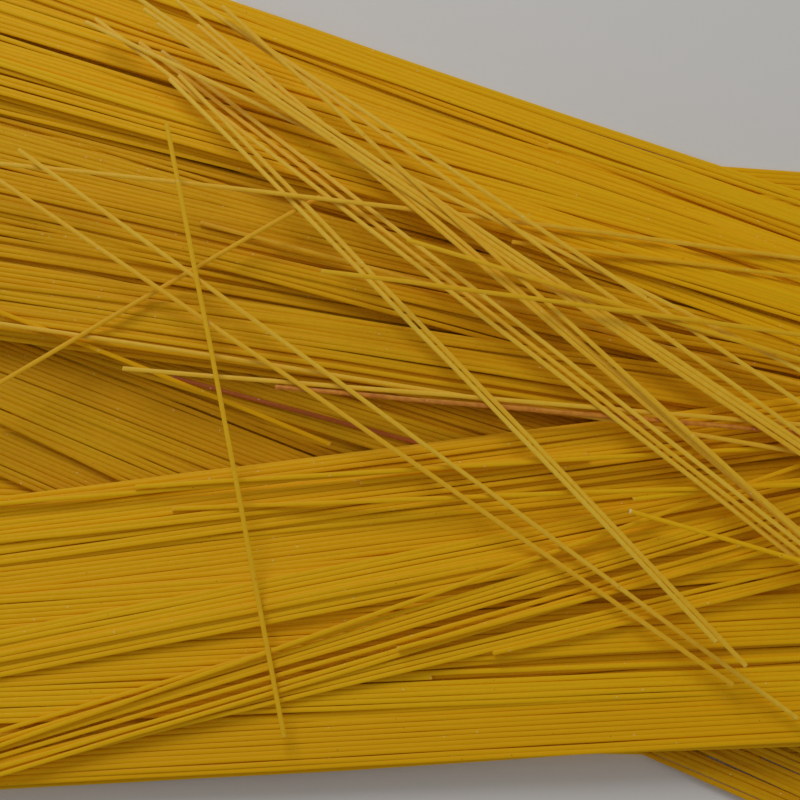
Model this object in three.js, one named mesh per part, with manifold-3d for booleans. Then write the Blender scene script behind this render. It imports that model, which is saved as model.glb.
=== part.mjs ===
// A loose bundle of dry angel hair pasta, lying as it was put down: a bed of strands, two sheaves over
// it that leave a valley between them, and single strands thrown across the top.
// Millimetres, +X along the strands, +Z up.
import * as THREE from "three";
import { mergeVertices } from "three/addons/utils/BufferGeometryUtils.js";
import Module from "manifold-3d";

// Driving dimensions.
const STRAND_DIAMETER = 1.0;
const STRAND_LENGTH = 250;
const LENGTH_SCATTER = 0.006; // how unevenly they were cut, as a share of their length
const END_SCATTER = 4.5; // how unevenly the ends of the strands line up
const BOW = 0.7; // how far a dried strand bends sideways out of straight
const BROKEN = 0.04; // the share of the strands that are broken
const SHORTEST = 0.35; // and what is left of those: this much, and up to so much more
const LONGER = 0.4;
const RIBBONS = 0.75; // how often strands lie in a ribbon, of two or more
const MORE_BESIDE = 7; // fewer than this many more, for each 1 of how tightly the sheaf lies
const PITCH = 1.01; // how far apart the strands of a ribbon lie, in diameters
const SEED = 20;
const SHOWN = 124; // strands that stand out of the core
const SIDES = 6; // of a strand
const MIDDLE = [2.28, 14.59]; // the middle of the heap's outline, where the part's origin is

const R = STRAND_DIAMETER / 2;
const DEGREE = Math.PI / 180;

// The sheaves from the bottom up: how many strands, where the first and last cross X = 0, the directions
// of the first and last in degrees, how far a direction strays, where their middles lie along X, and how
// tightly they lie, which is 1 where they have slid together as far as they can.
const UNDER = [
  { name: "bed", count: 400, edges: [-65, 62], angles: [2, -7], scatter: 1.3, centre: 0, tight: 1 },
  { name: "deep", count: 190, edges: [-42, 34], angles: [-25, -13], scatter: 1, centre: -14, tight: 1 },
  { name: "upper", count: 290, edges: [6, 64], angles: [-7.5, -22], scatter: 1.8, centre: -10, tight: 0.35 },
  { name: "brow", count: 60, edges: [5.8, 15], angles: [-7.3, -10.2], scatter: 0.8, centre: -8, tight: 0.5 },
  { name: "corner", count: 130, edges: [40, 80], angles: [-18, -22], scatter: 1.2, centre: 24, tight: 0.5 },
];
const OVER = [
  { name: "lower", count: 320, edges: [-66, -10], angles: [2, 7], scatter: 0.8, centre: -4, tight: 1.6 },
  { name: "edge", count: 30, edges: [-17.2, -9], angles: [6.9, 6.6], scatter: 0.4, centre: -6, tight: 0.6 },
  { name: "rising", count: 14, edges: [-39, -30], angles: [9, 11.5], scatter: 0.6, centre: 0, tight: 1 },
];

// The single strands, each by two places it passes over, its length, how far its middle lies along it
// from halfway between the two, and how many lie side by side. Two lie in the valley, under the lower
// sheaf, and the others on top.
const VALLEY = [
  [-46, 6.9, 1.6, -5.8, 118, 34, 1],
  [-32.2, -0.1, -14.4, -6.9, 110, -45, 1],
];
const SINGLES = [
  [-5.3, -55.1, 30.9, -46.5, 200, -18, 3],
  [18.4, -49.6, 31.3, -46.5, 110, 48, 1],
  [-14.4, -54.1, 19.6, -44, 214, 18, 2],
  [-0.4, -49, 15.6, -44.7, 135, 59, 1],
  [-18.7, -53, 41.6, -36.2, 228, 6, 1],
  [-19.9, -51.5, 43.6, -33.1, 242, -10, 4],
  [-23.8, -48.8, 49.1, -23.6, 236, 2, 1],
  [-8.2, -15.6, 13.9, -13.2, 140, 59, 1],
  [11.9, -12.7, 37.2, -10.9, 165, -70, 1],
  [45, -20.5, 52.9, -19.6, 85, 39, 1],
  [-45.2, -20.6, -27.8, -20.2, 180, 81, 1],
  [-52.9, -16.5, -31.7, -15.4, 185, 82, 1],
  [-41.2, 39.7, -10.8, 30.4, 150, 59, 1],
  [22.6, 32.4, 35.2, 30.8, 105, 46, 1],
  [-55.3, 11.7, -19.7, 5.6, 196, 22, 1],
  [-55.6, 6.9, -11.9, 2.8, 172, 64, 1],
  [-24.6, 2.6, 40.4, -3.4, 146, 40, 1],
  [-53, 20.1, -15.2, 43.4, 120, -38, 1],
  [-26, 51.9, 52.8, -13, 192, -4, 1],
  [-24.7, 54.1, 52.8, -11.3, 184, 2, 1],
  [-22.9, 54.4, 52.8, -9.5, 176, 3, 1],
  [-29.9, 49.5, 45.8, -32.6, 160, -2, 1],
  [-28.3, 50.3, 46.4, -31.5, 166, 2, 1],
  [-36.4, 43.4, 3.3, 38.8, 200, 6, 1],
  [-8.6, 51.6, 36.4, 27.8, 180, 0, 1],
  [-14, 54.6, 54.9, -7.6, 176, 4, 2],
  [20.8, 29.2, 55.2, 4.8, 196, -10, 3],
  [-5.9, 57.7, 54.7, 10.5, 190, 2, 1],
  [-2.6, 56.8, 52.6, 17.1, 186, -6, 1],
  [-9.4, 56.2, 54.7, -6.5, 170, 2, 1],
  [1.2, 31.2, 48.1, 16.7, 135, 43, 1],
  [-16.1, 23.4, 52.3, 15.3, 160, 46, 1],
  [45.2, -22.9, 50, -24.5, 40, 17, 1],
  [-47.3, 29.2, 42.1, -36.7, 192, 3, 1],
  [-50.6, 23.9, 40.2, -39.2, 178, -4, 1],
  [-43, 35.5, -25.7, -49.9, 124, -2, 1],
];

// The same draw each time, from 0 to 1.
function drawFrom(seed) {
  let state = seed;
  return () => {
    state = (Math.imul(1664525, state) + 1013904223) >>> 0;
    return state / 4294967296;
  };
}
const draw = drawFrom(SEED);
const bell = () => (draw() + draw() + draw() + draw() - 2) * Math.sqrt(3);

// ---- The pile: how high its top is in each cell of a grid, and which strand lies on top there.
const CELL = 0.25;
const REACH_X = 190;
const REACH_Y = 150;
const COLUMNS = (2 * REACH_X) / CELL;
const ROWS = (2 * REACH_Y) / CELL;
const top = new Float64Array(COLUMNS * ROWS);
const owner = new Int32Array(COLUMNS * ROWS).fill(-1);

// Calls visit for each cell under a strand, with the place along it from its middle, the height of
// its skin over its centreline there, and the step from the cell to the next one sideways.
function eachCell(strand, visit) {
  const cos = Math.cos(strand.angle);
  const sin = Math.sin(strand.angle);
  const steep = Math.abs(sin) > Math.abs(cos);
  const run = steep ? sin : cos;
  const drift = steep ? cos : sin;
  const p0 = steep ? strand.y + REACH_Y : strand.x + REACH_X;
  const q0 = steep ? strand.x + REACH_X : strand.y + REACH_Y;
  const side = steep ? -run : run;
  const half = strand.length / 2;
  const span = half * Math.abs(run);
  const spread = R / Math.abs(run);
  const first = Math.ceil((p0 - span) / CELL - 0.5);
  const last = Math.floor((p0 + span) / CELL - 0.5);
  const sideways = steep ? 1 : COLUMNS;
  const onward = steep ? COLUMNS : 1;
  for (let i = first; i <= last; i++) {
    const along = ((i + 0.5) * CELL - p0) / run;
    const bend = strand.bow * (1 - (along / half) ** 2);
    const q = q0 + along * drift + bend / side;
    const low = Math.ceil((q - spread) / CELL - 0.5);
    const high = Math.floor((q + spread) / CELL - 0.5);
    for (let j = low; j <= high; j++) {
      const off = ((j + 0.5) * CELL - q) * run;
      const rise = R * R - off * off;
      if (rise > 0) visit(i * onward + j * sideways, along, Math.sqrt(rise), sideways);
    }
  }
}

// A strand's height is kept in short steps along it.
const STEP = 2;
function heightAt(strand, along) {
  const { path, length } = strand;
  const place = Math.min(Math.max((along + length / 2) / STEP - 0.5, 0), path.length - 1.001);
  const i = Math.floor(place);
  return path[i] + (place - i) * (path[i + 1] - path[i]);
}

// In a sheaf the load above presses a strand into the ones below, so that it follows them loosely.
const WINDOW = 20;
function press(need) {
  return need.map((_, i) => {
    let sum = 0;
    let weight = 0;
    for (let k = Math.max(-WINDOW, -i); k <= Math.min(WINDOW, need.length - 1 - i); k++) {
      const share = WINDOW + 1 - Math.abs(k);
      sum += share * need[i + k];
      weight += share;
    }
    return sum / weight;
  });
}

// A single strand is stiff: it rests on the highest places either side of its middle, and its ends
// sag a little beyond them.
const SAG = 3; // of a whole strand
const LEVEL = 60; // how much it prefers to lie level
const STEEPEST = 0.15;
const TRIES = 24;
const BETTER = 0.02; // millimetres
function balance(need, length) {
  const along = (i) => (i + 0.5) * STEP - length / 2;
  let best = null;
  for (const sag of [0, SAG / 3, (2 * SAG) / 3, SAG]) {
    const bend = sag * (length / STRAND_LENGTH) ** 2;
    const drop = (i) => bend * ((2 * along(i)) / length) ** 2;
    const height = (slope) =>
      need.reduce((most, z, i) => Math.max(most, z - slope * along(i) + drop(i)), R);
    const strain = (slope) => height(slope) + LEVEL * slope * slope;
    let low = -STEEPEST;
    let high = STEEPEST;
    for (let i = 0; i < TRIES; i++) {
      const a = low + (high - low) / 3;
      const b = high - (high - low) / 3;
      if (strain(a) < strain(b)) high = b;
      else low = a;
    }
    const slope = (low + high) / 2;
    const middle = height(slope);
    const cost = middle - bend / 3;
    if (!best || cost < best.cost - BETTER) {
      best = { cost, path: need.map((_, i) => middle + slope * along(i) - drop(i)) };
    }
  }
  return best.path;
}

// What a strand needs to clear the pile, in each step along it, for each place sideways that it may
// slide to.
function needsOf(strand, slide) {
  const half = strand.length / 2;
  const steps = Math.ceil(strand.length / STEP);
  const needs = Array.from({ length: 2 * slide + 1 }, () => new Float64Array(steps).fill(R));
  eachCell(strand, (cell, along, rise, sideways) => {
    const i = Math.min(steps - 1, Math.floor((along + half) / STEP));
    for (let k = -slide; k <= slide; k++) {
      const z = top[cell + k * sideways] + rise;
      if (z > needs[k + slide][i]) needs[k + slide][i] = z;
    }
  });
  return needs;
}

// The strands of a ribbon lie nearly level with each other.
const EVEN = 0.8;
function level(ribbon) {
  const { x, y, angle } = ribbon[0];
  const onward = (strand) => (strand.x - x) * Math.cos(angle) + (strand.y - y) * Math.sin(angle);
  const mean = (along) =>
    ribbon.reduce((sum, strand) => sum + heightAt(strand, along - onward(strand)), 0) / ribbon.length;
  const paths = ribbon.map((strand) =>
    strand.path.map((z, i) => {
      const along = (i + 0.5) * STEP - strand.length / 2;
      return z + EVEN * (mean(along + onward(strand)) - z);
    }),
  );
  ribbon.forEach((strand, k) => (strand.path = paths[k]));
}

// Moves a strand, or a ribbon of them, sideways into the lowest place within so many cells, and rests
// it there.
const STAY = 0.01; // what a cell of that costs
const strands = [];
function lay(ribbon, slide, settle) {
  const needs = ribbon.map((strand) => needsOf(strand, slide));
  let best = slide;
  let least = Infinity;
  for (let k = 0; k <= 2 * slide; k++) {
    const heights = needs.map((need) => need[k].reduce((sum, z) => sum + z, 0) / need[k].length);
    const cost = heights.reduce((sum, z) => sum + z, 0) / ribbon.length + STAY * Math.abs(k - slide);
    if (cost < least) [least, best] = [cost, k];
  }
  const steep = Math.abs(Math.sin(ribbon[0].angle)) > Math.abs(Math.cos(ribbon[0].angle));
  ribbon.forEach((strand, i) => {
    strand[steep ? "x" : "y"] += (best - slide) * CELL;
    strand.path = settle(needs[i][best], strand.length);
  });
  level(ribbon);
  for (const strand of ribbon) {
    strands.push(strand);
    eachCell(strand, (cell, along, rise) => {
      const z = heightAt(strand, along) + rise;
      if (z > top[cell]) {
        top[cell] = z;
        owner[cell] = strands.length - 1;
      }
    });
  }
}

const SLIDE = 12; // cells
const RIBBON_TURN = 0.05 * DEGREE; // how far the strands of a ribbon turn from each other
const RIBBON_BOW = 0.12; // and how much less they bow

function laySheaf({ name, count, edges, angles, scatter, centre, tight }) {
  const slide = Math.round(SLIDE * tight);
  for (let laid = 0; laid < count; ) {
    const share = 0.5 + 0.5 * Math.sqrt(draw()) * Math.cos(2 * Math.PI * draw());
    const across = edges[0] + share * (edges[1] - edges[0]);
    const angle = (angles[0] + share * (angles[1] - angles[0]) + scatter * bell()) * DEGREE;
    const side = draw() < RIBBONS ? 2 + Math.floor(draw() * MORE_BESIDE * tight) : 1;
    const bow = BOW * bell();
    const ribbon = [];
    for (let k = 0; k < side && laid < count; k++, laid++) {
      const whole = draw() > BROKEN;
      const left = whole ? 1 + LENGTH_SCATTER * bell() : SHORTEST + LONGER * draw();
      const length = STRAND_LENGTH * left;
      const room = whole ? END_SCATTER * bell() : (STRAND_LENGTH - length) * (draw() - 0.5);
      const turn = angle + (k ? RIBBON_TURN * bell() : 0);
      const apart = (k - (side - 1) / 2) * STRAND_DIAMETER * PITCH;
      const x = centre + room * Math.cos(turn);
      ribbon.push({
        name,
        x: x - apart * Math.sin(turn),
        y: across + x * Math.tan(angle) + apart * Math.cos(turn),
        angle: turn,
        length,
        bow: bow + (k ? RIBBON_BOW * BOW * bell() : 0),
      });
    }
    lay(ribbon, slide, press);
  }
}

const LOOSE_TURN = 0.12 * DEGREE; // how far the strands of a ribbon on top turn from each other
const LOOSE_ENDS = 6; // and how unevenly they lie along it
const LOOSE_BOW = 0.5; // and how much less they bow

function laySingles([x1, y1, x2, y2, length, shift, side]) {
  const angle = Math.atan2(y2 - y1, x2 - x1);
  const bow = LOOSE_BOW * BOW * bell();
  const ribbon = Array.from({ length: side }, (_, k) => {
    const turn = angle + (k ? LOOSE_TURN * bell() : 0);
    const apart = k * STRAND_DIAMETER * PITCH;
    const place = shift + (k ? LOOSE_ENDS * bell() : 0);
    return {
      name: "single",
      x: (x1 + x2) / 2 + place * Math.cos(turn) - apart * Math.sin(turn),
      y: (y1 + y2) / 2 + place * Math.sin(turn) + apart * Math.cos(turn),
      angle: turn,
      length: length - (k ? LOOSE_ENDS * draw() : 0),
      bow,
    };
  });
  lay(ribbon, 0, balance);
}

// ---- The core: a long mound under the strands that show, ruled along them from the left end to the
// right, with its top just under theirs and its underside flat.
const CORE_ENDS = [-125, 125];
const LEFT_ROWS = [-72, 114]; // where the first and last row pass the left end, and the right
const RIGHT_ROWS = [-63, 36];
const BULGE = 4; // how far the last row bends outwards halfway
const ALONG = 8;
const ACROSS = 30;
const INSET = 4; // the core ends this far short of the strands
const SUNK = 0.7; // and stays this far under them
const LEAST = 1;

// The heights of the pile in a box about a place, lowest first.
function heightsNear(x, y, reachX, reachY) {
  const cell = (place, reach) => Math.round((place + reach) / CELL);
  const found = [];
  for (let j = cell(y - reachY, REACH_Y); j < cell(y + reachY, REACH_Y); j++) {
    for (let i = cell(x - reachX, REACH_X); i < cell(x + reachX, REACH_X); i++) {
      found.push(top[j * COLUMNS + i]);
    }
  }
  return found.sort((a, b) => a - b);
}

const COVERED = [0.4, 2]; // where all but this share of the pile is over this height
const SEARCH = [-0.15, 1.2]; // how far out a row's ends are looked for, as shares of its length
const SEARCH_STEP = 0.004;
const QUARTER = 0.25; // the core follows the height that this share of the pile is under

function coreRow(share) {
  const mix = (pair, part) => pair[0] + part * (pair[1] - pair[0]);
  const ends = [mix(LEFT_ROWS, share), mix(RIGHT_ROWS, share)];
  const place = (t) => [mix(CORE_ENDS, t), mix(ends, t) + share * BULGE * 4 * t * (1 - t)];
  const covered = (t) => {
    const found = heightsNear(...place(t), 3, 1.5);
    return found[Math.floor(found.length * COVERED[0])] > COVERED[1];
  };
  let [start, end] = SEARCH;
  while (start < 0.4 && !covered(start)) start += SEARCH_STEP;
  while (end > 0.6 && !covered(end)) end -= SEARCH_STEP;
  const inset = INSET / (CORE_ENDS[1] - CORE_ENDS[0]);
  return Array.from({ length: ALONG + 1 }, (_, i) => {
    const t = start + inset + (i / ALONG) * (end - start - 2 * inset);
    const [x, y] = place(t);
    const found = heightsNear(x, y, 5, 2);
    return [x, y, Math.max(LEAST, found[Math.floor(found.length * QUARTER)] - SUNK)];
  });
}

function coreGeometry() {
  const points = [];
  for (let j = 0; j <= ACROSS; j++) points.push(...coreRow(j / ACROSS));
  const at = (i, j) => j * (ALONG + 1) + i;
  const faces = [];
  for (let j = 0; j < ACROSS; j++) {
    for (let i = 0; i < ALONG; i++) {
      faces.push(at(i, j), at(i + 1, j), at(i + 1, j + 1));
      faces.push(at(i, j), at(i + 1, j + 1), at(i, j + 1));
    }
  }
  const rim = [];
  for (let i = 0; i < ALONG; i++) rim.push(at(i, 0));
  for (let j = 0; j < ACROSS; j++) rim.push(at(ALONG, j));
  for (let i = ALONG; i > 0; i--) rim.push(at(i, ACROSS));
  for (let j = ACROSS; j > 0; j--) rim.push(at(0, j));
  const foot = points.length;
  for (const p of rim) points.push([points[p][0], points[p][1], 0]);
  rim.forEach((p, k) => {
    const next = (k + 1) % rim.length;
    faces.push(p, foot + k, foot + next);
    faces.push(p, foot + next, rim[next]);
  });
  const outline = rim.map((p) => new THREE.Vector2(points[p][0], points[p][1]));
  for (const [a, b, c] of THREE.ShapeUtils.triangulateShape(outline, [])) {
    faces.push(foot + a, foot + c, foot + b);
  }
  const geometry = new THREE.BufferGeometry();
  geometry.setAttribute("position", new THREE.Float32BufferAttribute(points.flat(), 3));
  return geometry.setIndex(faces);
}

// ---- A strand: a bar bent along its path, a little over round size so that it is of true breadth.
const BAR = R * 1.08;
const STRAIGHT = 0.5; // a stretch this close to its chord is one length of bar
const MOST_PARTS = 6;

function strandGeometry(strand, lower) {
  const { length, angle, bow } = strand;
  const [cos, sin] = [Math.cos(angle), Math.sin(angle)];
  const centre = (along) => {
    const bend = bow * (1 - (2 * along / length) ** 2);
    const x = strand.x + along * cos - bend * sin;
    const y = strand.y + along * sin + bend * cos;
    return new THREE.Vector3(x, y, Math.max(BAR, heightAt(strand, along) - lower));
  };
  const strays = (parts) => {
    const piece = length / parts;
    return Array.from({ length: parts }, (_, k) => {
      const [a, b] = [centre(k * piece - length / 2), centre((k + 1) * piece - length / 2)];
      return a.add(b).multiplyScalar(0.5).distanceTo(centre((k + 0.5) * piece - length / 2));
    }).some((miss) => miss > STRAIGHT);
  };
  let parts = 1;
  while (parts < MOST_PARTS && strays(parts)) parts++;
  const geometry = new THREE.CylinderGeometry(BAR, BAR, length, SIDES, parts);
  const position = geometry.getAttribute("position");
  for (let i = 0; i < position.count; i++) {
    const [side, along, up] = [position.getX(i), position.getY(i), position.getZ(i)];
    const { x, y, z } = centre(along);
    position.setXYZ(i, x + side * sin, y - side * cos, z + up);
  }
  return geometry;
}

// ---- The strands that show, those with most to see first, spread evenly, with every single one and
// the ones that reach furthest each way.
const SPREADS = [7, 3.5, 1.2]; // first the ones this far from each other, then more between them
const TURNED = 4 * DEGREE; // strands less turned than this lie along each other
const FURTHEST = 2; // each way
const WELD = 1e-4;

function chooseStrands() {
  const seen = strands.map(() => 0);
  for (const i of owner) {
    if (i >= 0) seen[i] += 1;
  }
  const reach = (s, way) => way * s.x + Math.abs(Math.cos(s.angle)) * s.length / 2;
  const breadth = (s, way) => way * s.y + Math.abs(Math.sin(s.angle)) * s.length / 2;
  const furthest = [];
  for (const far of [reach, breadth]) {
    for (const way of [-1, 1]) {
      furthest.push(...[...strands].sort((a, b) => far(b, way) - far(a, way)).slice(0, FURTHEST));
    }
  }
  const beside = (s, other, apart) => {
    const away = (other.y - s.y) * Math.cos(s.angle) - (other.x - s.x) * Math.sin(s.angle);
    return Math.abs(away) < apart && Math.abs(other.angle - s.angle) < TURNED;
  };
  const order = [...strands.keys()].sort((a, b) => seen[b] - seen[a]).map((i) => strands[i]);
  const singles = strands.filter((s) => s.name === "single");
  const chosen = new Set([...furthest, ...singles]);
  for (const apart of SPREADS) {
    for (const strand of order) {
      if (chosen.size >= SHOWN) break;
      if (![...chosen].some((other) => beside(strand, other, apart))) chosen.add(strand);
    }
  }
  return [...chosen];
}

// ---- Joining them. A strand that touches nothing yet waits for the others, then is let down a
// little at a time, as the ones that it lay on aren't all there.
const wasm = await Module();
wasm.setup();

function solid(geometry) {
  geometry.deleteAttribute("normal");
  geometry.deleteAttribute("uv");
  const merged = mergeVertices(geometry, WELD);
  return new wasm.Manifold(
    new wasm.Mesh({
      numProp: 3,
      vertProperties: merged.getAttribute("position").array,
      triVerts: new Uint32Array(merged.getIndex().array),
    }),
  );
}

const LET_DOWN = 0.2;
const MOST_DOWN = 1.2;
const HOLD = 0.03; // how many cubic millimetres a joint takes

function joinStrands() {
  const joined = [solid(coreGeometry())];
  const holds = (bar) => joined.some((other) => bar.intersect(other).volume() > HOLD);
  let waiting = chooseStrands();
  for (let lower = 0; lower <= MOST_DOWN && waiting.length; ) {
    const before = waiting.length;
    waiting = waiting.filter((strand) => {
      const bar = solid(strandGeometry(strand, lower));
      const held = holds(bar);
      if (held) joined.push(bar);
      return !held;
    });
    if (waiting.length === before) lower += LET_DOWN;
  }
  return joined.reduce((whole, bar) => whole.add(bar)).getMesh();
}

// Keeps the outer skin of the joined solid, so that a gap sealed between strands is filled.
function outerSkin({ vertProperties, triVerts }) {
  const parent = Array.from({ length: vertProperties.length / 3 }, (_, i) => i);
  const root = (i) => {
    while (parent[i] !== i) {
      parent[i] = parent[parent[i]];
      i = parent[i];
    }
    return i;
  };
  for (let f = 0; f < triVerts.length; f += 3) {
    parent[root(triVerts[f + 1])] = root(triVerts[f]);
    parent[root(triVerts[f + 2])] = root(triVerts[f]);
  }
  const skins = new Map();
  for (let f = 0; f < triVerts.length; f += 3) {
    const key = root(triVerts[f]);
    if (!skins.has(key)) skins.set(key, []);
    skins.get(key).push(...triVerts.slice(f, f + 3));
  }
  const [outer] = [...skins.values()].sort((a, b) => b.length - a.length);
  const geometry = new THREE.BufferGeometry();
  geometry.setAttribute("position", new THREE.BufferAttribute(vertProperties, 3));
  geometry.setIndex(outer);
  return geometry;
}

UNDER.forEach(laySheaf);
VALLEY.forEach(laySingles);
OVER.forEach(laySheaf);
SINGLES.forEach(laySingles);

const pasta = new THREE.MeshStandardMaterial({ color: "#b8862a", roughness: 0.55, metalness: 0 });
const skin = outerSkin(joinStrands());
skin.translate(-MIDDLE[0], -MIDDLE[1], 0);
const heap = new THREE.Mesh(skin, pasta);
heap.name = "angel_hair_bundle";

const bundle = new THREE.Group();
bundle.add(heap);
export default bundle;
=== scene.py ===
import math

import bpy
import numpy as np
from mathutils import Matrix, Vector


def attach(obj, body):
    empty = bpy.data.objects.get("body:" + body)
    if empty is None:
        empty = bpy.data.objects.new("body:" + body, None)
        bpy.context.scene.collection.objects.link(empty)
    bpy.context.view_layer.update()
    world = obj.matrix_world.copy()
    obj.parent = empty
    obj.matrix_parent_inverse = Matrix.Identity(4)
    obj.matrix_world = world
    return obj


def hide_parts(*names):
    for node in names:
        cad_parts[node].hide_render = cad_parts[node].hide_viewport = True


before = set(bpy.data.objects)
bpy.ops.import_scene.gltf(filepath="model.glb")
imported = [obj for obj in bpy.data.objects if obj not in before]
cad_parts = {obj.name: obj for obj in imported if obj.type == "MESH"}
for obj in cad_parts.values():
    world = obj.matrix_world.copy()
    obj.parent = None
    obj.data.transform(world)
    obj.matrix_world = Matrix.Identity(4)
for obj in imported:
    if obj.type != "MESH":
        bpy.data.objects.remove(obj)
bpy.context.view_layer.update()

# ---- Driving dimensions, in millimetres until the meshes are made.
STRAND_DIAMETER = 1.0
STRAND_LENGTH = 250
END_SCATTER = 4.5  # how unevenly the ends of the strands line up
LENGTH_SCATTER = 0.006  # how unevenly they were cut, as a share of their length
BOW = 0.7  # how far a dried strand bends sideways out of straight
BROKEN = 0.04  # the share of the strands that are broken
SHORTEST = 0.35  # and what is left of those: this much, and up to so much more
LONGER = 0.4
RIBBONS = 0.75  # how often strands lie in a ribbon, of two or more
MORE_BESIDE = 7  # fewer than this many more, for each 1 of how tightly the sheaf lies
PITCH = 1.01  # how far apart the strands of a ribbon lie, in diameters
SEED = 20
MIDDLE = (2.28, 14.59)  # the middle of the heap's outline, where the part's origin is
MM = 0.001

R = STRAND_DIAMETER / 2
DEGREE = math.pi / 180
RIBBON_TURN = 0.05 * DEGREE  # how far the strands of a ribbon turn from each other
RIBBON_BOW = 0.12  # and how much less they bow
LOOSE_TURN = 0.12 * DEGREE  # the same for a ribbon on top
LOOSE_ENDS = 6  # and how unevenly its strands lie along it
LOOSE_BOW = 0.5  # and how much less they bow

# Each sheaf: how many strands, where the first and last cross X = 0, their directions in degrees,
# how far a direction strays, where the middle of the strands lies along X, and how tightly they lie.
UNDER = [
    ("bed", 400, (-65, 62), (2, -7), 1.3, 0, 1),
    ("deep", 190, (-42, 34), (-25, -13), 1, -14, 1),
    ("upper", 290, (6, 64), (-7.5, -22), 1.8, -10, 0.35),
    ("brow", 60, (5.8, 15), (-7.3, -10.2), 0.8, -8, 0.5),
    ("corner", 130, (40, 80), (-18, -22), 1.2, 24, 0.5),
]
OVER = [
    ("lower", 320, (-66, -10), (2, 7), 0.8, -4, 1.6),
    ("edge", 30, (-17.2, -9), (6.9, 6.6), 0.4, -6, 0.6),
    ("rising", 14, (-39, -30), (9, 11.5), 0.6, 0, 1),
]
# Each single strand: two places it passes over, its length, how far its middle lies along it from
# halfway between the two, and how many lie side by side.
VALLEY = [
    ("dim", -46, 6.9, 1.6, -5.8, 118, 34, 1),
    ("loose", -32.2, -0.1, -14.4, -6.9, 110, -45, 1),
]
SINGLES = [
    ("crossing", -5.3, -55.1, 30.9, -46.5, 200, -18, 3),
    ("crossing", 18.4, -49.6, 31.3, -46.5, 110, 48, 1),
    ("crossing", -14.4, -54.1, 19.6, -44, 214, 18, 2),
    ("crossing", -0.4, -49, 15.6, -44.7, 135, 59, 1),
    ("crossing", -18.7, -53, 41.6, -36.2, 228, 6, 1),
    ("crossing", -19.9, -51.5, 43.6, -33.1, 242, -10, 4),
    ("crossing", -23.8, -48.8, 49.1, -23.6, 236, 2, 1),
    ("loose", -8.2, -15.6, 13.9, -13.2, 140, 59, 1),
    ("loose", 11.9, -12.7, 37.2, -10.9, 165, -70, 1),
    ("loose", 45, -20.5, 52.9, -19.6, 85, 39, 1),
    ("loose", -45.2, -20.6, -27.8, -20.2, 180, 81, 1),
    ("loose", -52.9, -16.5, -31.7, -15.4, 185, 82, 1),
    ("mellow", -41.2, 39.7, -10.8, 30.4, 150, 59, 1),
    ("mellow", 22.6, 32.4, 35.2, 30.8, 105, 46, 1),
    ("pale", -55.3, 11.7, -19.7, 5.6, 196, 22, 1),
    ("pale", -55.6, 6.9, -11.9, 2.8, 172, 64, 1),
    ("tomato", -24.6, 2.6, 40.4, -3.4, 146, 40, 1),
    ("mellow", -53, 20.1, -15.2, 43.4, 120, -38, 1),
    ("pale", -26, 51.9, 52.8, -13, 192, -4, 1),
    ("pale", -24.7, 54.1, 52.8, -11.3, 184, 2, 1),
    ("pale", -22.9, 54.4, 52.8, -9.5, 176, 3, 1),
    ("pale", -29.9, 49.5, 45.8, -32.6, 160, -2, 1),
    ("pale", -28.3, 50.3, 46.4, -31.5, 166, 2, 1),
    ("pale", -36.4, 43.4, 3.3, 38.8, 200, 6, 1),
    ("pale", -8.6, 51.6, 36.4, 27.8, 180, 0, 1),
    ("pale", -14, 54.6, 54.9, -7.6, 176, 4, 2),
    ("pale", 20.8, 29.2, 55.2, 4.8, 196, -10, 3),
    ("pale", -5.9, 57.7, 54.7, 10.5, 190, 2, 1),
    ("pale", -2.6, 56.8, 52.6, 17.1, 186, -6, 1),
    ("pale", -9.4, 56.2, 54.7, -6.5, 170, 2, 1),
    ("mellow", 1.2, 31.2, 48.1, 16.7, 135, 43, 1),
    ("mellow", -16.1, 23.4, 52.3, 15.3, 160, 46, 1),
    ("chipped", 45.2, -22.9, 50, -24.5, 40, 17, 1),
    ("pale", -47.3, 29.2, 42.1, -36.7, 192, 3, 1),
    ("pale", -50.6, 23.9, 40.2, -39.2, 178, -4, 1),
    ("mellow", -43, 35.5, -25.7, -49.9, 124, -2, 1),
]

# ---- The pile: how high its top is in each cell of a grid, as each strand comes to lie on it.
CELL = 0.25
REACH_X = 190
REACH_Y = 150
COLUMNS = round(2 * REACH_X / CELL)
ROWS = round(2 * REACH_Y / CELL)
STEP = 2  # a strand's height is kept in steps this long
WINDOW = 20  # how many of them either side the load spreads over, in a sheaf
SLIDE = 12  # cells
STAY = 0.01  # what a cell of sliding costs
EVEN = 0.8  # how level a ribbon is
SAG = 3  # of a whole strand
LEVEL = 60  # how much a single strand prefers to lie level
STEEPEST = 0.15
TRIES = 24
BETTER = 0.02  # millimetres


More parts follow.
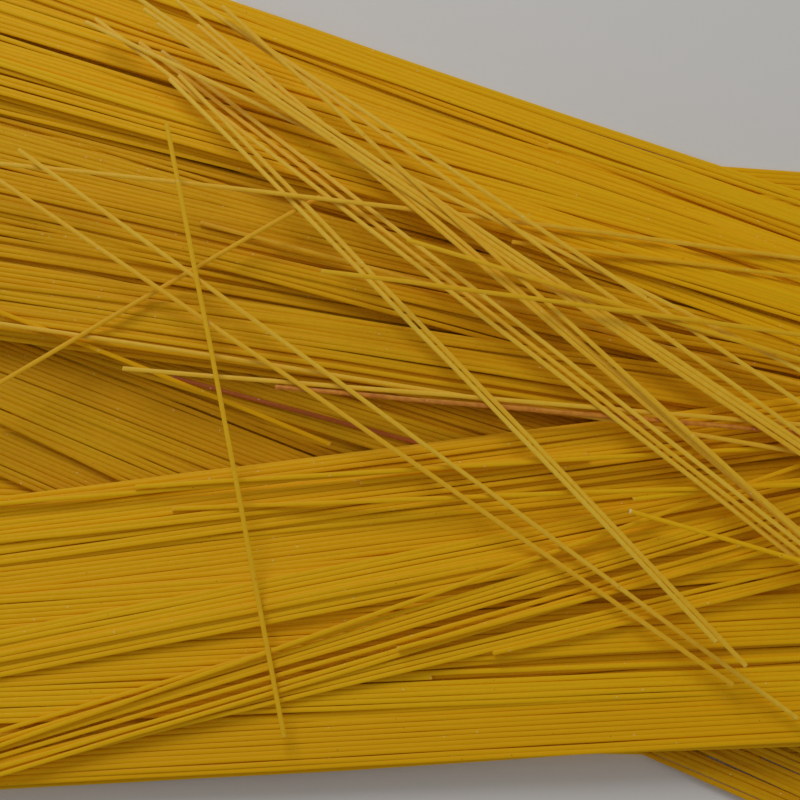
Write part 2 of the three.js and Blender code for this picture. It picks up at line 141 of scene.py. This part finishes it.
class Pile:
    """The strands laid so far, and the height of the heap that they make."""

    def __init__(self):
        self.top = np.zeros(COLUMNS * ROWS)
        self.strands = []
        self.ribbons = 0
        self.state = SEED

    def draw(self):
        """The next number of a fixed row of them, from 0 to 1."""
        self.state = (1664525 * self.state + 1013904223) % 4294967296
        return self.state / 4294967296

    def bell(self):
        """A number that is mostly near 0, and spreads about it by 1."""
        return (self.draw() + self.draw() + self.draw() + self.draw() - 2) * math.sqrt(3)

    def lay(self, ribbon, slide, settle):
        """Moves a strand, or a ribbon of them, sideways into the lowest place within so many cells,
        and rests it there."""
        needs = [self.needs_of(strand, slide) for strand in ribbon]
        costs = np.mean([need.mean(axis=1) for need in needs], axis=0)
        costs += STAY * np.abs(np.arange(-slide, slide + 1))
        best = int(np.argmin(costs))
        steep = abs(math.sin(ribbon[0]["angle"])) > abs(math.cos(ribbon[0]["angle"]))
        for strand, need in zip(ribbon, needs):
            strand["x" if steep else "y"] += (best - slide) * CELL
            strand["path"] = settle(need[best], strand["length"])
        level(ribbon)
        for strand in ribbon:
            cells, along, rise, _ = under(strand)
            np.maximum.at(self.top, cells, height_at(strand, along) + rise)
            strand["ribbon"] = self.ribbons
            self.strands.append(strand)
        self.ribbons += 1

    def needs_of(self, strand, slide):
        """What a strand needs to clear the pile, in each step along it, for each place sideways that
        it may slide to."""
        steps = math.ceil(strand["length"] / STEP)
        cells, along, rise, sideways = under(strand)
        bins = np.minimum(steps - 1, np.floor((along + strand["length"] / 2) / STEP)).astype(int)
        needs = np.full((2 * slide + 1, steps), R)
        for k in range(-slide, slide + 1):
            np.maximum.at(needs[k + slide], bins, self.top[cells + k * sideways] + rise)
        return needs

    def sheaf(self, name, count, edges, angles, scatter, centre, tight):
        """Lays so many strands ribbon by ribbon, from one edge to the other and most in between."""
        slide = round(SLIDE * tight)
        laid = 0
        while laid < count:
            share = 0.5 + 0.5 * math.sqrt(self.draw()) * math.cos(2 * math.pi * self.draw())
            across = edges[0] + share * (edges[1] - edges[0])
            angle = (angles[0] + share * (angles[1] - angles[0]) + scatter * self.bell()) * DEGREE
            side = 2 + math.floor(self.draw() * MORE_BESIDE * tight) if self.draw() < RIBBONS else 1
            bow = BOW * self.bell()
            ribbon = []
            for k in range(min(side, count - laid)):
                whole = self.draw() > BROKEN
                if whole:
                    length = STRAND_LENGTH * (1 + LENGTH_SCATTER * self.bell())
                    room = END_SCATTER * self.bell()
                else:
                    length = STRAND_LENGTH * (SHORTEST + LONGER * self.draw())
                    room = (STRAND_LENGTH - length) * (self.draw() - 0.5)
                turn = angle + (RIBBON_TURN * self.bell() if k else 0)
                apart = (k - (side - 1) / 2) * STRAND_DIAMETER * PITCH
                x = centre + room * math.cos(turn)
                ribbon.append({
                    "name": name,
                    "x": x - apart * math.sin(turn),
                    "y": across + x * math.tan(angle) + apart * math.cos(turn),
                    "angle": turn,
                    "length": length,
                    "bow": bow + (RIBBON_BOW * BOW * self.bell() if k else 0),
                })
            laid += len(ribbon)
            self.lay(ribbon, slide, press)

    def singles(self, name, x1, y1, x2, y2, length, shift, side):
        """Lays a strand, or a few side by side, over two places."""
        angle = math.atan2(y2 - y1, x2 - x1)
        bow = LOOSE_BOW * BOW * self.bell()
        ribbon = []
        for k in range(side):
            turn = angle + (LOOSE_TURN * self.bell() if k else 0)
            apart = k * STRAND_DIAMETER * PITCH
            place = shift + (LOOSE_ENDS * self.bell() if k else 0)
            ribbon.append({
                "name": name,
                "x": (x1 + x2) / 2 + place * math.cos(turn) - apart * math.sin(turn),
                "y": (y1 + y2) / 2 + place * math.sin(turn) + apart * math.cos(turn),
                "angle": turn,
                "length": length - (LOOSE_ENDS * self.draw() if k else 0),
                "bow": bow,
            })
        self.lay(ribbon, 0, balance)


def under(strand):
    """The cells under a strand, with the place along it from its middle, the height of its skin over
    its centreline there, and the step from a cell to the next one sideways."""
    cos, sin = math.cos(strand["angle"]), math.sin(strand["angle"])
    steep = abs(sin) > abs(cos)
    run, drift = (sin, cos) if steep else (cos, sin)
    p0, q0 = strand["x"] + REACH_X, strand["y"] + REACH_Y
    if steep:
        p0, q0 = q0, p0
    side = -run if steep else run
    half = strand["length"] / 2
    span = half * abs(run)
    spread = R / abs(run)
    i = np.arange(math.ceil((p0 - span) / CELL - 0.5), math.floor((p0 + span) / CELL - 0.5) + 1)
    along = ((i + 0.5) * CELL - p0) / run
    q = q0 + along * drift + (strand["bow"] * (1 - (along / half) ** 2)) / side
    low = np.ceil((q - spread) / CELL - 0.5)
    j = low[:, None] + np.arange(math.ceil(2 * spread / CELL) + 2)
    off = ((j + 0.5) * CELL - q[:, None]) * run
    rise = R * R - off * off
    inside = (rise > 0) & (j <= np.floor((q + spread) / CELL - 0.5)[:, None])
    sideways, onward = (1, COLUMNS) if steep else (COLUMNS, 1)
    cells = (i[:, None] * onward + j * sideways)[inside].astype(int)
    places = np.broadcast_to(along[:, None], j.shape)[inside]
    return cells, places, np.sqrt(rise[inside]), sideways


def height_at(strand, along):
    path = strand["path"]
    place = np.clip((along + strand["length"] / 2) / STEP - 0.5, 0, len(path) - 1.001)
    i = np.floor(place).astype(int)
    return path[i] + (place - i) * (path[i + 1] - path[i])


def level(ribbon):
    """The strands of a ribbon lie nearly level with each other."""
    x, y, angle = (ribbon[0][key] for key in ("x", "y", "angle"))

    def onward(strand):
        return (strand["x"] - x) * math.cos(angle) + (strand["y"] - y) * math.sin(angle)

    paths = []
    for strand in ribbon:
        along = (np.arange(len(strand["path"])) + 0.5) * STEP - strand["length"] / 2
        mean = sum(height_at(other, along + onward(strand) - onward(other)) for other in ribbon)
        paths.append(strand["path"] + EVEN * (mean / len(ribbon) - strand["path"]))
    for strand, path in zip(ribbon, paths):
        strand["path"] = path


def press(need, length):
    """In a sheaf the load above presses a strand into the ones below, so it follows them loosely."""
    weights = WINDOW + 1 - np.abs(np.arange(-WINDOW, WINDOW + 1.0))
    total = np.convolve(need, weights)[WINDOW:-WINDOW]
    return total / np.convolve(np.ones(len(need)), weights)[WINDOW:-WINDOW]


def balance(need, length):
    """A single strand is stiff: it rests on the highest places either side of its middle, and its
    ends sag a little beyond them."""
    along = (np.arange(len(need)) + 0.5) * STEP - length / 2
    best, least = None, math.inf
    for sag in (0, SAG / 3, 2 * SAG / 3, SAG):
        bend = sag * (length / STRAND_LENGTH) ** 2
        drop = bend * (2 * along / length) ** 2

        def height(slope):
            return max(R, (need - slope * along + drop).max())

        def strain(slope):
            return height(slope) + LEVEL * slope * slope

        low, high = -STEEPEST, STEEPEST
        for _ in range(TRIES):
            a = low + (high - low) / 3
            b = high - (high - low) / 3
            if strain(a) < strain(b):
                high = b
            else:
                low = a
        slope = (low + high) / 2
        middle = height(slope)
        cost = middle - bend / 3
        if best is None or cost < least - BETTER:
            best, least = middle + slope * along - drop, cost
    return best


# ---- Meshes. A strand is a tube with a broken end at each end of it.
SIDES = 10
RING = 15  # a tube has a ring about this often
TAPER = 0.86  # of a broken end's rim
ASKEW = 0.25  # how far a broken end is from square, in radii
FULL = 1.06  # strands that lie side by side in a sheaf touch
SLIM = 0.95  # and the single ones on top are a little thinner
UNEVEN = 0.015  # how much thicker or thinner a strand is
SWELL = 9  # and over how long it swells and thins by as much again
THICKEST = R * FULL * (1 + 2 * UNEVEN)
WAVER = 0.04  # how far a strand wavers from its line
SETTLED = 0.1  # how far each strand has settled among those that carry it, in millimetres
WAVES = (34, 71)  # and how long the waves are
LIP = 0.12  # how far in from its end a strand's rim is rounded
CHIP = 0.6  # and how far in it may be floury
SOFT = 1.8  # how evenly a strand takes the light, as it lets some through: 0 is a hard round bar
UV_LENGTH = 100  # of strand to one unit of its UVs

noise = np.random.default_rng(SEED)


def tube(strand):
    """A strand's points and their normals, its faces and end caps, and values for each point: the
    place along the strand and around it, how floury it is there, and the strand's tint."""
    length, angle = strand["length"], strand["angle"]
    cos, sin = math.cos(angle), math.sin(angle)
    along = np.linspace(-length / 2, length / 2, max(3, round(length / RING) + 1))
    bow = strand["bow"] * (1 - (2 * along / length) ** 2)
    *phases, _, last = noise.uniform(0, 2 * math.pi, 4)
    for wave, phase in zip(WAVES, phases):
        bow = bow + WAVER * np.sin(2 * math.pi * along / wave + phase)
    dip = SETTLED + WAVER / 2 * (1 + np.sin(2 * math.pi * along / WAVES[0] + last))
    rise = np.maximum(height_at(strand, along) - dip, THICKEST)
    centre = np.stack(
        [strand["x"] + along * cos - bow * sin, strand["y"] + along * sin + bow * cos, rise], axis=1
    )
    radius = R * strand["full"] * (1 + UNEVEN * noise.uniform(-1, 1))
    radius = radius * (1 + UNEVEN * np.sin(along / SWELL + last))
    # Extra rings inside each end round its rim, and bound the flour on it.
    end = [-length / 2, LIP - length / 2, CHIP - length / 2]
    rings = np.concatenate([end, along[1:-1], -np.array(end[::-1])])
    centre = np.stack([np.interp(rings, along, axis) for axis in centre.T], axis=1)
    radius = np.interp(rings, along, radius)
    radius[[0, -1]] *= TAPER
    turn = np.arange(SIDES) / SIDES * 2 * math.pi
    side = np.array([-sin, cos, 0.0])
    up = np.array([0.0, 0.0, 1.0])
    outwards = np.cos(turn)[:, None] * side + np.sin(turn)[:, None] * up
    points = centre[:, None, :] + radius[:, None, None] * outwards
    # A broken end isn't square, but it stays within the strand's length.
    onward = np.array([cos, sin, 0.0])
    for rims, way, (a, b) in zip(([0, 1], [-1, -2]), (1, -1), noise.uniform(-ASKEW, ASKEW, (2, 2))):
        shift = a * np.cos(turn) + b * np.sin(turn) + way * (abs(a) + abs(b))
        points[rims] += shift[:, None] * onward * R
    # The light soaks through a thin strand, so its sides are shaded more like its top.
    lifted = np.sin(turn) + SOFT * (1 + np.sin(turn)) / 2
    slope = np.gradient(centre[:, 2], rings)[:, None, None] * onward
    normals = np.cos(turn)[:, None] * side + lifted[:, None] * (up - slope)
    normals[0] -= onward
    normals[-1] += onward
    normals /= np.linalg.norm(normals, axis=2, keepdims=True)
    floury = np.zeros(len(rings))
    floury[[0, 1, -2, -1]] = strand["flour"]
    k = np.arange(len(rings) - 1)[:, None] * SIDES
    s = np.arange(SIDES)[None, :]
    t = (s + 1) % SIDES
    quads = np.stack([k + s, k + t, k + SIDES + t, k + SIDES + s], axis=2).reshape(-1, 4)
    caps = [np.arange(SIDES)[::-1], (len(rings) - 1) * SIDES + np.arange(SIDES)]
    values = {
        "along": np.repeat(rings + length / 2 + strand["start"], SIDES),
        "around": np.tile(turn, len(rings)),
        "floury": np.repeat(floury, SIDES),
        "tint": np.full(len(rings) * SIDES, strand["tint"]),
    }
    return points.reshape(-1, 3), normals.reshape(-1, 3), quads, caps, values


def link(name, data):
    """A new object in the scene."""
    made = bpy.data.objects.new(name, data)
    bpy.context.scene.collection.objects.link(made)
    return made


def strands_object(name, strands):
    """One mesh of many strands. Each has a tint of its own, and UVs that run along it."""
    points, normals, faces, every = [], [], [], []
    start = 0
    for strand in strands:
        p, n, quads, caps, values = tube(strand)
        points.append(p)
        normals.append(n)
        every.append(values)
        faces.extend((quads + start).tolist())
        faces.extend((cap + start).tolist() for cap in caps)
        start += len(p)
    values = {key: np.concatenate([v[key] for v in every]) for key in every[0]}
    points = (np.concatenate(points) - (*MIDDLE, 0)) * MM
    mesh = bpy.data.meshes.new(name)
    mesh.from_pydata(points.tolist(), [], faces)
    for label in ("tint", "floury"):
        layer = mesh.attributes.new(label, "FLOAT", "POINT")
        layer.data.foreach_set("value", values[label].astype(np.float32))
    corner = np.empty(len(mesh.loops), dtype=np.int32)
    mesh.loops.foreach_get("vertex_index", corner)
    along, around = values["along"][corner] / UV_LENGTH, values["around"][corner] / (2 * math.pi)
    uv = np.stack([along, around], axis=1)
    mesh.uv_layers.new(name="along").data.foreach_set("uv", uv.astype(np.float32).ravel())
    sizes = np.array([len(f) for f in faces])
    mesh.polygons.foreach_set("use_smooth", sizes == 4)
    # The broken ends keep normals of their own.
    custom = np.concatenate(normals)[corner] * np.repeat(sizes == 4, sizes)[:, None]
    mesh.normals_split_custom_set(custom.tolist())
    mesh.update()
    return link(name, mesh)


CORE_EDGES = ((-58, 94), (-55, 33))  # where the core's left and right end begin and stop across
CORE_INSET = 26  # how far the core ends short of the strands
CORE_SUNK = 3.5  # and how far it stays under them
CORE_ROWS = 24
CORE_COLUMNS = 12
CORE_NEAR = (40, 28)  # how many cells either way the pile is looked at
CORE_LOWEST = 4  # and the share of them, of 100, that may be lower than the height it counts as
CORE_LEAST = 0.5
CORE_BOTTOM = 0.2


def core_object(top):
    """A plain mound inside the heap, well under the strands that show, so no floor shows through."""
    grid = top.reshape(ROWS, COLUMNS)
    end = STRAND_LENGTH / 2 - CORE_INSET
    points = []
    for share in np.linspace(0, 1, CORE_ROWS + 1):
        left, right = (first + share * (last - first) for first, last in CORE_EDGES)
        for t in np.linspace(0, 1, CORE_COLUMNS + 1):
            x = -end + t * 2 * end
            y = left + t * (right - left)
            i, j = round((x + REACH_X) / CELL), round((y + REACH_Y) / CELL)
            near = grid[j - CORE_NEAR[1] : j + CORE_NEAR[1], i - CORE_NEAR[0] : i + CORE_NEAR[0]]
            points.append((x, y, max(CORE_LEAST, np.percentile(near, CORE_LOWEST) - CORE_SUNK)))
    total = len(points)
    points += [(x, y, CORE_BOTTOM) for x, y, _ in points]

    def at(i, j):
        return j * (CORE_COLUMNS + 1) + i

    faces = []
    for j in range(CORE_ROWS):
        for i in range(CORE_COLUMNS):
            quad = [at(i, j), at(i + 1, j), at(i + 1, j + 1), at(i, j + 1)]
            faces.append(quad)
            faces.append([total + p for p in reversed(quad)])
    rim = [at(i, 0) for i in range(CORE_COLUMNS)]
    rim += [at(CORE_COLUMNS, j) for j in range(CORE_ROWS)]
    rim += [at(i, CORE_ROWS) for i in range(CORE_COLUMNS, 0, -1)]
    rim += [at(0, j) for j in range(CORE_ROWS, 0, -1)]
    for p, q in zip(rim, rim[1:] + rim[:1]):
        faces.append([p, total + p, total + q, q])
    mesh = bpy.data.meshes.new("heap_core")
    mesh.from_pydata(((np.array(points) - (*MIDDLE, 0)) * MM).tolist(), [], faces)
    mesh.update()
    return link("heap_core", mesh)


# ---- Materials.
class Nodes:
    """A material's node tree, with short calls that add a node and link its inputs."""

    def __init__(self, name):
        self.material = bpy.data.materials.new(name)
        self.material.use_nodes = True
        self.tree = self.material.node_tree
        self.shader = self.tree.nodes["Principled BSDF"]

    def add(self, kind, inputs=None, **settings):
        node = self.tree.nodes.new(kind)
        for key, value in settings.items():
            setattr(node, key, value)
        for key, value in (inputs or {}).items():
            self.put(node.inputs[key], value)
        return node

    def put(self, socket, value):
        if isinstance(value, bpy.types.NodeSocket):
            self.tree.links.new(value, socket)
        else:
            socket.default_value = value

    def math(self, operation, *values):
        node = self.add("ShaderNodeMath", dict(enumerate(values)), operation=operation)
        return node.outputs[0]

    def vary(self, value, about, much):
        """Adds as much of how far a noise is from its middle."""
        return self.math("ADD", value, self.math("MULTIPLY", self.math("SUBTRACT", about, 0.5), much))

    def mix(self, share, a, b):
        node = self.add("ShaderNodeMix", data_type="RGBA")
        self.put(node.inputs["Factor"], share)
        self.put(node.inputs["A"], a)
        self.put(node.inputs["B"], b)
        return node.outputs["Result"]

    def ramp(self, value, low, high):
        """From 0 at low to 1 at high, smoothly."""
        node = self.add("ShaderNodeMapRange", {"Value": value, "From Min": low, "From Max": high})
        node.interpolation_type = "SMOOTHSTEP"
        return node.outputs["Result"]

    def noise(self, place, scale, detail):
        inputs = {"Vector": place, "Scale": scale, "Detail": detail}
        return self.add("ShaderNodeTexNoise", inputs).outputs["Fac"]


def rgb(r, g, b):
    return (r, g, b, 1)


# Each scale is how many spots or waves there are to a metre, and for the streaks to a unit of the UVs.
STREAKS = 6.0
STREAKED = 0.9  # how much a streak changes the tint
MOTTLES = 900.0
MOTTLED = 0.5
FLECKS = 620.0
FLECK = (0.05, 0.13)  # a fleck's core and its edge
BRANNY = 0.1  # the share of the flecks that are bran
BRAN_SHOWS = 0.6
FLOUR_SHOWS = 0.7
GRAINS = 2600.0
GRAIN_SHOWS = 0.25
GRAIN_DEPTH = 0.00005
SATIN = 0.42

BRAN = (0.35, 0.14, 0.01)
TOMATO_BRAN = (0.25, 0.05, 0.01)
FLOUR = (0.95, 0.84, 0.45)
TOMATO_FLOUR = (0.98, 0.76, 0.55)
# Each dough: its deepest and its palest tint, its bran and flour, the share of its flecks that are
# floury, and its gloss. Some are the golden dough made darker with painted shade, and some paler with
# painted light.
DOUGHS = {
    "golden_pasta": ((0.92, 0.475, 0.001), (0.95, 0.545, 0.003), BRAN, FLOUR, 0.14, 0.1),
    # Painted light: the golden dough made a little paler, for single strands on top that look lighter
    # in the light.
    "painted_light_mellow_pasta": ((0.90, 0.46, 0.003), (0.94, 0.55, 0.012), BRAN, FLOUR, 0.14, 0.2),
    # Painted shade: the golden dough made darker, for the deep strands that lie in the upper sheaf's
    # shadow.
    "painted_shade_pasta": ((0.75, 0.36, 0.001), (0.80, 0.44, 0.003), BRAN, FLOUR, 0.14, 0.1),
    # Painted shade: the golden dough made a little darker, so the upper sheaf looks less lit than the
    # lower one.
    "painted_dim_pasta": ((0.82, 0.41, 0.001), (0.87, 0.49, 0.004), BRAN, FLOUR, 0.14, 0.1),
    # Painted light: the golden dough made paler and less orange, for the lighter look of the single
    # strands lying on top.
    "painted_light_pale_pasta": ((0.93, 0.50, 0.006), (0.97, 0.62, 0.04), BRAN, FLOUR, 0.14, 0.3),
    "tomato_pasta": ((0.50, 0.12, 0.005), (0.90, 0.38, 0.025), TOMATO_BRAN, TOMATO_FLOUR, 0.35, 0.3),
}


def pasta_material(name, deep, pale, bran, flour, flecked, gloss):
    """Dried dough: a tint for each strand, slow streaks along it, flecks of bran and flour, a fine
    grain, and floury broken ends."""
    nodes = Nodes(name)
    tint = nodes.add("ShaderNodeAttribute", attribute_name="tint").outputs["Fac"]
    floury = nodes.add("ShaderNodeAttribute", attribute_name="floury").outputs["Fac"]
    uv = nodes.add("ShaderNodeUVMap", uv_map="along").outputs["UV"]
    place = nodes.add("ShaderNodeTexCoord").outputs["Object"]
    shade = nodes.vary(tint, nodes.noise(uv, STREAKS, 1.0), STREAKED)
    shade = nodes.vary(shade, nodes.noise(place, MOTTLES, 0.0), MOTTLED)
    colour = nodes.mix(nodes.ramp(shade, 0.0, 1.0), rgb(*deep), rgb(*pale))
    flecks = nodes.add("ShaderNodeTexVoronoi", {"Vector": place, "Scale": FLECKS}, feature="F1")
    some = nodes.add("ShaderNodeSeparateColor", {"Color": flecks.outputs["Color"]}).outputs[0]
    near = nodes.math("SUBTRACT", 1.0, nodes.ramp(flecks.outputs["Distance"], *FLECK))
    white = nodes.math("MULTIPLY", near, nodes.math("GREATER_THAN", some, 1 - flecked))
    brown = nodes.math("MULTIPLY", near, nodes.math("LESS_THAN", some, BRANNY))
    colour = nodes.mix(nodes.math("MULTIPLY", white, FLOUR_SHOWS), colour, rgb(*flour))
    colour = nodes.mix(nodes.math("MULTIPLY", brown, BRAN_SHOWS), colour, rgb(*bran))
    colour = nodes.mix(floury, colour, rgb(*flour))
    nodes.put(nodes.shader.inputs["Base Color"], colour)
    bump = nodes.add("ShaderNodeBump", {
        "Height": nodes.noise(place, GRAINS, 0.0),
        "Strength": GRAIN_SHOWS,
        "Distance": GRAIN_DEPTH,
    })
    nodes.put(nodes.shader.inputs["Normal"], bump.outputs["Normal"])
    nodes.shader.inputs["Roughness"].default_value = SATIN
    nodes.shader.inputs["Specular IOR Level"].default_value = gloss
    return nodes.material


def core_material():
    """The inside of the heap, in dark browns that paint the shade deep within it, with streaks like
    strands.
    """
    nodes = Nodes("painted_shade_core_pasta")
    place = nodes.add("ShaderNodeTexCoord").outputs["Object"]
    stretched = nodes.add("ShaderNodeMapping", {"Vector": place, "Scale": (20, 900, 200)}).outputs[0]
    streak = nodes.add("ShaderNodeTexNoise", {"Vector": stretched, "Scale": 1.0}).outputs["Fac"]
    # Dark browns: painted shade inside the heap.
    colour = nodes.mix(nodes.ramp(streak, 0.3, 0.7), rgb(0.30, 0.12, 0.01), rgb(0.55, 0.28, 0.03))
    nodes.put(nodes.shader.inputs["Base Color"], colour)
    nodes.shader.inputs["Roughness"].default_value = 0.6
    return nodes.material


def floor_material():
    nodes = Nodes("pale_floor")
    nodes.shader.inputs["Base Color"].default_value = rgb(0.82, 0.81, 0.79)
    nodes.shader.inputs["Roughness"].default_value = 0.7
    return nodes.material


# ---- The heap.
pile = Pile()
for sheaf in UNDER:
    pile.sheaf(*sheaf)
for single in VALLEY:
    pile.singles(*single)
for sheaf in OVER:
    pile.sheaf(*sheaf)
for single in SINGLES:
    pile.singles(*single)

# The strands of a ribbon are nearly of one tint, from 0 at the dough's deepest to 1 at its palest.
TINTS = 0.2  # how far the ribbons spread about the middle
STRAND_TINTS = 0.06  # and the strands about their ribbon
STARTS = 5000  # where a strand may start along the streaks
DUSTY = 0.15  # how floury a clean end may be
tints = noise.normal(0.5, TINTS, pile.ribbons)
in_sheaves = [sheaf[0] for sheaf in UNDER + OVER]
for strand in pile.strands:
    strand["full"] = FULL if strand["name"] in in_sheaves else SLIM
    strand["tint"] = min(1, max(0, tints[strand["ribbon"]] + noise.normal(0, STRAND_TINTS)))
    # Painted shade: the tomato strand in the valley takes its dough's deepest tint, for the shadow it
    # lies in.
    if strand["name"] == "dim":
        strand["tint"] = 0
    strand["start"] = noise.uniform(0, STARTS)
    strand["flour"] = 1 if strand["name"] == "chipped" else noise.uniform(0, DUSTY)

# Each piece: the strands in it, and their dough.
PIECES = {
    "bed_strands": (["bed"], "golden_pasta"),
    # The deep strands take the dough that is darkened with painted shade.
    "deep_strands": (["deep"], "painted_shade_pasta"),
    # The upper sheaf's dough is darkened with painted shade.
    "upper_sheaf": (["upper", "brow"], "painted_dim_pasta"),
    "corner_sheaf": (["corner"], "golden_pasta"),
    "lower_sheaf": (["lower", "edge", "rising"], "golden_pasta"),
    "crossing_strands": (["crossing"], "golden_pasta"),
    "loose_strands": (["loose", "chipped"], "golden_pasta"),
    "pale_strands": (["pale"], "painted_light_pale_pasta"),
    "mellow_strands": (["mellow"], "painted_light_mellow_pasta"),
    "tomato_strands": (["tomato", "dim"], "tomato_pasta"),
}
doughs = {name: pasta_material(name, *dough) for name, dough in DOUGHS.items()}
made = []
for name, (kinds, dough) in PIECES.items():
    piece = strands_object(name, [s for s in pile.strands if s["name"] in kinds])
    piece.data.materials.append(doughs[dough])
    made.append(piece)
core = core_object(pile.top)
core.data.materials.append(core_material())
made.append(core)
for piece in made:
    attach(piece, "root")
    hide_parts("angel_hair_bundle")

# ---- The floor, light and camera, in metres.
FLOOR_SIZE = 6
KEY_PLACE = (-0.28, 0.50, 0.72)
KEY_SIZE = 0.50
KEY_WATTS = 2.30
KEY_COLOUR = (1, 0.99, 0.97)
AROUND = 0.31  # how bright the studio is all round

bpy.ops.mesh.primitive_plane_add(size=FLOOR_SIZE, location=(0, 0, 0))
floor = bpy.context.object
floor.name = "floor"
floor.data.materials.append(floor_material())

lamp = bpy.data.lights.new("key", "AREA")
lamp.shape = "DISK"
lamp.size = KEY_SIZE
lamp.energy = KEY_WATTS
lamp.color = KEY_COLOUR
key = link("key", lamp)
key.location = KEY_PLACE
key.rotation_euler = (-Vector(KEY_PLACE)).to_track_quat("-Z", "Y").to_euler()

world = bpy.data.worlds.new("studio")
world.use_nodes = True
world.node_tree.nodes["Background"].inputs["Color"].default_value = rgb(1, 1, 1)
world.node_tree.nodes["Background"].inputs["Strength"].default_value = AROUND
bpy.context.scene.world = world
bpy.context.scene.view_settings.view_transform = "Standard"

# The photograph looks down on the heap, and shows this much of it from side to side.
SEEN_WIDTH = 0.160
ELEVATION = 75 * DEGREE
LENS = 100
SENSOR = 36
SEEN_HEIGHT = 0.015  # of the heap's top, where that width is seen
AIM = 0.83  # millimetres beyond the middle of the seen part
NEAREST = 0.01

camera_data = bpy.data.cameras.new("camera")
camera_data.lens = LENS
camera_data.sensor_width = SENSOR
camera_data.clip_start = NEAREST
camera = link("camera", camera_data)
target = Vector((-MIDDLE[0] * MM, (AIM - MIDDLE[1]) * MM, SEEN_HEIGHT))
distance = SEEN_WIDTH * LENS / SENSOR
away = Vector((0, -math.cos(ELEVATION), math.sin(ELEVATION)))
camera.location = target + away * distance
camera.rotation_euler = (-away).to_track_quat("-Z", "Y").to_euler()
bpy.context.scene.camera = camera
